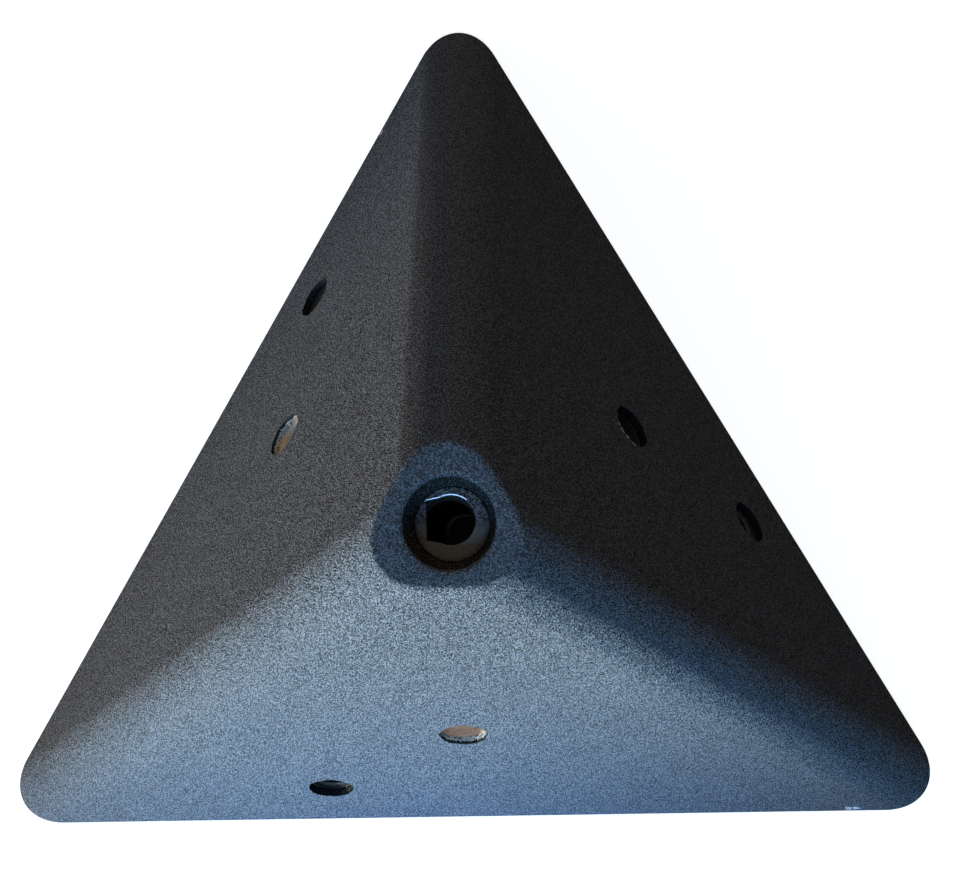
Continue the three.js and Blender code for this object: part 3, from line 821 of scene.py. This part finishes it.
def bolt_sleeve_tube():
    """The tube round the bolt, chamfered at both ends."""
    bore = SLEEVE_BORE / 2
    outer = bore + SLEEVE_WALL
    top = CEILING - SEAT_GAP
    edge = SLEEVE_EDGE
    radii, levels = zip((outer - edge, 0), (outer, edge), (outer, top / 2), (outer, top - edge),
                        (outer - edge, top), (bore + edge / 2, top), (bore, top - edge / 2),
                        (bore, top / 2), (bore, 0))
    rings = circles(radii, levels, full_turn(ROUND_STEPS))
    # The top and the bore's upper part take the dark zinc: partly overspray, partly painted shade.
    finish = [0, 0, 0, 1, 1, 1, 1, 1, 0]
    piece = ring_piece("bolt_sleeve_tube", rings, [ZINC, ZINC_OVERSPRAY_AND_SHADE], finish)
    finish_piece(piece, "zinc_steel", "bolt_sleeve")


def board_outline(depth):
    """One liner board's outline at a depth below the face: a foot that follows the wall plane,
    leaning ends, and rounded corners at the top."""
    ridge_half = math.pi / 2 - RIDGE_ARC
    setback = max(RIDGE_RADIUS * math.tan(RIDGE_ARC), -BOARD_BACK / math.tan(ridge_half)) + SEAT_GAP
    bottom = BASE_SIDE / 2 - setback / math.sin(FACE_CORNER)
    top = bottom - BOARD_RISE / math.tan(FACE_CORNER)
    across = BOARD_CORNER * math.tan(FACE_CORNER / 2)
    foot = -depth / math.tan(SLOPE)
    turn = math.pi / 2 - FACE_CORNER + np.linspace(0, FACE_CORNER, 9)
    x = np.concatenate([[bottom - foot / math.tan(FACE_CORNER)],
                        top - across + BOARD_CORNER * np.cos(turn)])
    y = np.concatenate([[foot], BOARD_RISE - BOARD_CORNER + BOARD_CORNER * np.sin(turn)])
    x, y = np.concatenate([x, -x[::-1]]), np.concatenate([y, y[::-1]])
    return np.stack([x, y, np.full_like(x, depth)], -1)


def drill_bit(width, low, high, face, insert, finish, off=(0.0, 0.0), steps=SMALL_STEPS):
    """A round cutter between two levels on the axis of an insert's hole, or off it."""
    rings = circles(width / 2, [low, high], full_turn(steps))
    return ring_piece("drill", at_hole(rings, face, insert, *off), [finish], looped=False)


def mortise_bit(turn, finish):
    """A square cutter for the brace arm's tenon, in the back of a board near its foot."""
    low = (BRACE_THICKNESS - TONGUE_THICKNESS) / 2 - SEAT_GAP
    high = low + TONGUE_THICKNESS + 2 * SEAT_GAP
    half = ARM_WIDTH / 2 + SEAT_GAP
    reach = BASE_INRADIUS - low / math.tan(SLOPE) + BOARD_BACK / math.sin(SLOPE)
    far, near = reach + TENON_LENGTH + SEAT_GAP, reach - 6 * SEAT_GAP
    flat = spun(half * np.array([-1, 1, 1, -1]), -np.array([far, far, near, near]), turn)
    rings = np.stack([np.column_stack([flat, np.full(4, level)]) for level in (low, high)])
    return ring_piece("chisel", rings, [finish], looped=False)


def liner_board(face):
    """The plywood board behind one face, with eased edges, its two insert holes, the screws'
    pilot holes and the mortise for the brace arm."""
    finish = BOARD_PLY[face]
    rings = np.stack([board_outline(BOARD_BACK), board_outline(BOARD_FRONT + SEAT_GAP - GLUE_LINE)])
    piece = ring_piece(f"liner_board_{face}", onto_face(rings, FACES[face]), [finish], looped=False)
    easing = piece.modifiers.new("eased edges", "BEVEL")
    easing.width = BOARD_EDGE * MM
    easing.segments = 2
    easing.limit_method = "ANGLE"
    easing.angle_limit = math.radians(EASED_ANGLE)
    cutters = [mortise_bit(FACES[face], finish)]
    for insert in INSERTS:
        cutters.append(drill_bit(INSERT_HOLE_WIDTH, FLANGE_FRONT - CLEAR, CLEAR, face, insert,
                                 HOLE_WALLS.get((face, insert), finish), steps=ROUND_STEPS))
        cutters += [drill_bit(PILOT_WIDTH, FLANGE_FRONT - CLEAR,
                              SCREW_SEAT + SCREW_LENGTH + SEAT_GAP, face, insert, finish, off)
                    for off in SCREW_PLACES]
    cut_piece(piece, cutters)
    finish_piece(piece, "plywood", f"liner_{face}")


def threaded_insert(face, insert):
    """A screw-on tee nut: a round flange behind the board and a barrel through it. The bore is
    an M10 thread: radius = minor + depth of a triangle wave in (height / pitch - angle / turn)."""
    angle = full_turn(ROUND_STEPS // 2)
    barrel, flange, edge = BARREL_WIDTH / 2, FLANGE_WIDTH / 2, FLANGE_EDGE
    low, high, mouth = FLANGE_BACK, FLANGE_FRONT, -INSERTS[insert][2]
    outside = circles(
        [flange - edge, flange, flange, flange - edge, barrel + BARREL_FILLET,
         barrel + FILLET_BEND, barrel, barrel, barrel - BARREL_EDGE],
        [low, low + edge, high - edge, high, high, high + FILLET_BEND, high + BARREL_FILLET,
         mouth - BARREL_EDGE, mouth], angle)
    level = np.linspace(mouth - THREAD_END, low + THREAD_END,
                        int((mouth - low) / THREAD_PITCH * THREAD_STEPS))
    wave = (level[:, None] / THREAD_PITCH - angle / math.tau) % 1
    ridge = np.clip(THREAD_FLANK * np.abs(wave - 0.5) - THREAD_ROOT, 0, 1)
    fade = np.clip(np.minimum(mouth - level, level - low) / THREAD_PITCH, 0, 1)[:, None]
    major = THREAD_MAJOR / 2
    radius = major - (THREAD_MAJOR - THREAD_MINOR) / 2 * ridge * fade
    rings = np.concatenate([outside, circles(major, mouth, angle), circles(radius, level, angle),
                            circles(major, low, angle)])
    # Barrels in the darkened holes are dark zinc: partly overspray, partly painted shade.
    metal = ZINC_OVERSPRAY_AND_SHADE if (face, insert) in RUN_IN_AND_SHADED_HOLES else ZINC
    piece = ring_piece(f"threaded_insert_{face}_{insert}", at_hole(rings, face, insert), [metal])
    cut_piece(piece, [drill_bit(PILOT_WIDTH, low - 1, high + 0.5, face, insert, metal, off)
                      for off in SCREW_PLACES])
    finish_piece(piece, "zinc_steel", f"tee_nut_{face}_{insert}")


def screw_rings():
    """A pan-head wood screw along +Z, its head below z = 0: a domed head with a cross recess
    and a core whose radius grows by a sharp ridge along a helix."""
    angle = full_turn(SMALL_STEPS)
    head, shank, core = SCREW_HEAD_WIDTH / 2, SCREW_SHANK_WIDTH / 2, SCREW_CORE_WIDTH / 2
    share = np.array([0.04, 0.12, 0.2, 0.3, 0.42, 0.55, 0.7, 0.82, 0.92, 1.0])
    arm = np.clip(1 - np.abs(np.sin(2 * angle)) * share[:, None] * head / SCREW_CROSS[0], 0, 1)
    cross = arm * np.clip((0.58 - share[:, None]) / 0.12, 0, 1)
    dome = -SCREW_HEAD_HEIGHT * np.sqrt(np.clip(1 - 0.78 * share ** 3, 0, 1))[:, None]
    run = np.linspace(SCREW_NECK, SCREW_LENGTH - SCREW_TIP, SHANK_STEPS)
    taper = np.clip((SCREW_LENGTH - run) / SCREW_POINT, 0, 1)
    wave = (run[:, None] / SCREW_PITCH - angle / math.tau) % 1
    crest = np.clip(1 - 5 * np.abs(wave - 0.5), 0, 1)
    body = taper[:, None] * (core + (shank - core) * crest)
    return np.concatenate([circles(share * head, dome + SCREW_CROSS[1] * cross, angle),
                           circles([head, shank], 0.0, angle), circles(body, run, angle)])


def insert_screws(face, insert):
    """The screws of one insert, each with its cross at its own turn."""
    rings = screw_rings()
    for number, (across, up) in enumerate(SCREW_PLACES, 1):
        turn = 0.7 * number + 1.3 * FACES[face] + INSERTS[insert][1]
        turned = np.concatenate([spun(rings[..., 0], rings[..., 1], turn), rings[..., 2:]], -1)
        name = f"{face}_{insert}_{number}"
        piece = ring_piece(f"insert_screw_{name}",
                           at_hole(turned, face, insert, across, up, SCREW_SEAT), [ZINC],
                           looped=False)
        finish_piece(piece, "zinc_steel", f"tee_nut_screw_{name}")


def dress_node(name):
    """Gives a CAD node that stays in view the flat plywood."""
    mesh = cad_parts[name].data
    mesh.materials.clear()
    mesh.materials.append(FLAT_PLY)


shell_skin()
bolt_washer_ring()
bolt_sleeve_tube()
for side_name in FACES:
    liner_board(side_name)
    dress_node(f"brace_arm_{side_name}")
    for insert_name in INSERTS:
        threaded_insert(side_name, insert_name)
        insert_screws(side_name, insert_name)
dress_node("tip_block")
dress_node("brace_hub")


# Floor, in metres: its half width, its drop below the wall plane, its glow near, far away and in
# the dark middle, and where these meet.
FLOOR_HALF = 4.0
FLOOR_DROP = 0.0002
FLOOR_GLOW, FAR_GLOW, DARK_GLOW = 0.86, 1.0, 0.0008
GLOW_NEAR, GLOW_FAR = 0.25, 0.9
HIDDEN_FLOOR = 0.05
FLOOR_SEEN = (0.45, 0.45, 0.45)
FLOOR_UNSEEN = (0.12, 0.12, 0.12)
BLACK, WHITE = (0.0, 0.0, 0.0), (1.0, 1.0, 1.0)
SKY_COLOUR, SKY_STRENGTH = (1.0, 0.98, 0.95), 0.02

# Lamps, in metres: the point that the soft ones face, and the spots' distance and radius.
SOFT_AIM = (0.0, 0.0, 0.05)
SPOT_DISTANCE = 1.0
SPOT_RADIUS = 0.06

# Camera: sensor and lens in millimetres, clips and place in metres, turns in degrees.
SENSOR_WIDTH = 36.0
LENS = 63.58
CLIPS = (0.01, 50.0)
CAMERA_PLACE = (0.01792, -0.01115, 0.49366)
CAMERA_TURNS = (4.5813, 1.6721, -1.1026)


def seen_directly(tree):
    """1 for the rays that show the background: of the camera, off metal or through glass."""
    path = add_node(tree, "LightPath").outputs
    seen = calc(tree, "MAXIMUM", path["Is Camera Ray"], path["Is Glossy Ray"])
    return calc(tree, "MAXIMUM", seen, path["Is Transmission Ray"])


def mix_shaders(tree, share, first, second):
    """Links a blend of two shader nodes to the tree's output."""
    mixed = add_node(tree, "MixShader", None,
                     {0: share, 1: first.outputs[0], 2: second.outputs[0]})
    output = next(node for node in tree.nodes if node.type.startswith("OUTPUT"))
    tree.links.new(mixed.outputs[0], output.inputs["Surface"])


def pale_floor():
    """A plain floor just under the wall plane, which is clear from below. Rays that show the
    background see it glow, and in the middle, where the object stands, glow only faintly: a
    painted glimmer seen up the bolt's bore."""
    mesh = bpy.data.meshes.new("floor")
    mesh.from_pydata([(x * FLOOR_HALF, y * FLOOR_HALF, -FLOOR_DROP)
                      for x, y in ((-1, -1), (1, -1), (1, 1), (-1, 1))], [], [(0, 1, 2, 3)])
    material, tree, shader, place = new_material("pale floor")
    away = vector_calc(tree, "DISTANCE", place, AXIS)
    seen = seen_directly(tree)
    clear_of = ramp_between(tree, away, HIDDEN_FLOOR / 2, HIDDEN_FLOOR)
    colour = blend_colour(tree, seen, FLOOR_UNSEEN, FLOOR_SEEN)
    set_shader(tree, shader, blend_colour(tree, clear_of, BLACK, colour), FLOOR_LOOK)
    far = ramp_between(tree, away, GLOW_NEAR, GLOW_FAR)
    level = calc(tree, "MULTIPLY_ADD", far, FAR_GLOW - FLOOR_GLOW, FLOOR_GLOW)
    level = calc(tree, "MAXIMUM", calc(tree, "MULTIPLY", level, clear_of), DARK_GLOW)
    shader.inputs["Emission Color"].default_value = (*WHITE, 1.0)
    tree.links.new(calc(tree, "MULTIPLY", seen, level), shader.inputs["Emission Strength"])
    behind = add_node(tree, "NewGeometry").outputs["Backfacing"]
    crossed = add_node(tree, "LightPath").outputs["Is Shadow Ray"]
    mix_shaders(tree, calc(tree, "MAXIMUM", behind, crossed), shader,
                add_node(tree, "BsdfTransparent"))
    mesh.materials.append(material)
    floor = place_object("floor", mesh)


def white_surround():
    """A dim sky for the object, and plain white where the background is seen."""
    world = bpy.data.worlds.new("surround")
    bpy.context.scene.world = world
    world.use_nodes = True
    tree = world.node_tree
    tree.nodes.clear()
    add_node(tree, "OutputWorld")
    sky, white = (add_node(tree, "Background", None, {"Color": (*colour, 1.0), "Strength": level})
                  for colour, level in ((SKY_COLOUR, SKY_STRENGTH), (WHITE, 1.0)))
    mix_shaders(tree, seen_directly(tree), sky, white)


def hang_lamp(name, kind, azimuth, elevation, distance, aim, power, colour):
    """A lamp that faces a point given from the bolt's axis, placed from there by its azimuth and
    elevation in degrees and its distance. Gives its data."""
    data = bpy.data.lights.new(name, kind)
    data.energy = power
    data.color = colour
    away = Vector(direction(math.radians(azimuth), math.radians(elevation)))
    lamp = place_object(name, data)
    lamp.location = Vector(AXIS) + Vector(aim) + away * distance
    lamp.rotation_euler = away.to_track_quat("Z", "Y").to_euler()
    return data


def soft_lamp(name, azimuth, elevation, distance, width, height, power, colour):
    """A rectangular soft lamp that faces the middle of the object."""
    data = hang_lamp(name, "AREA", azimuth, elevation, distance, SOFT_AIM, power, colour)
    data.shape = "RECTANGLE"
    data.size, data.size_y = width, height


def spot_lamp(name, azimuth, elevation, aim, reach, power, colour):
    """A round beam that fades to nothing at reach from the point it faces."""
    data = hang_lamp(name, "SPOT", azimuth, elevation, SPOT_DISTANCE, aim, power, colour)
    data.spot_size = 2 * math.atan(reach / SPOT_DISTANCE)
    data.spot_blend = 1.0
    data.shadow_soft_size = SPOT_RADIUS


def photo_camera():
    """A camera nearly above the tip, at the photograph's distance, tilt and lens."""
    data = bpy.data.cameras.new("photo camera")
    data.sensor_fit = "HORIZONTAL"
    data.sensor_width = SENSOR_WIDTH
    data.lens = LENS
    data.clip_start, data.clip_end = CLIPS
    camera = place_object("photo camera", data)
    camera.location = AXIS + CAMERA_PLACE
    camera.rotation_euler = [math.radians(angle) for angle in CAMERA_TURNS]
    bpy.context.scene.camera = camera


pale_floor()
white_surround()
spot_lamp("low window", -126.5, -1, (-0.015, -0.03, 0.10), 0.166, 119.0, (0.64, 0.92, 0.97))
spot_lamp("high window", -128, -1, (-0.015, -0.03, 0.13), 0.12, 42.0, (0.98, 0.92, 1.0))
spot_lamp("low side window", -160, -1, (-0.05, -0.05, 0.07), 0.185, 42.5, (1.0, 0.75, 0.55))
spot_lamp("low corner window", -132, 2, (-0.142, -0.07, 0.006), 0.052, 105.0, (0.72, 0.86, 0.95))
spot_lamp("low sky", -105, 6, (-0.012, -0.06, -0.03), 0.13, 73.0, (0.0, 0.26, 1.0))
soft_lamp("blue sky", -102, 48, 1.2, 0.9, 0.5, 17.0, (0.28, 0.59, 1.0))
soft_lamp("back fill", 80, 45, 1.5, 1.0, 1.0, 4.5, (1.0, 0.79, 0.58))
soft_lamp("left fill", 165, 35, 1.5, 1.0, 1.0, 0.9, (1.0, 0.98, 0.98))
soft_lamp("from below", -60, -50, 1.5, 1.0, 1.0, 2.0, (1.0, 1.0, 1.0))
photo_camera()
bpy.context.scene.view_settings.view_transform = "Standard"
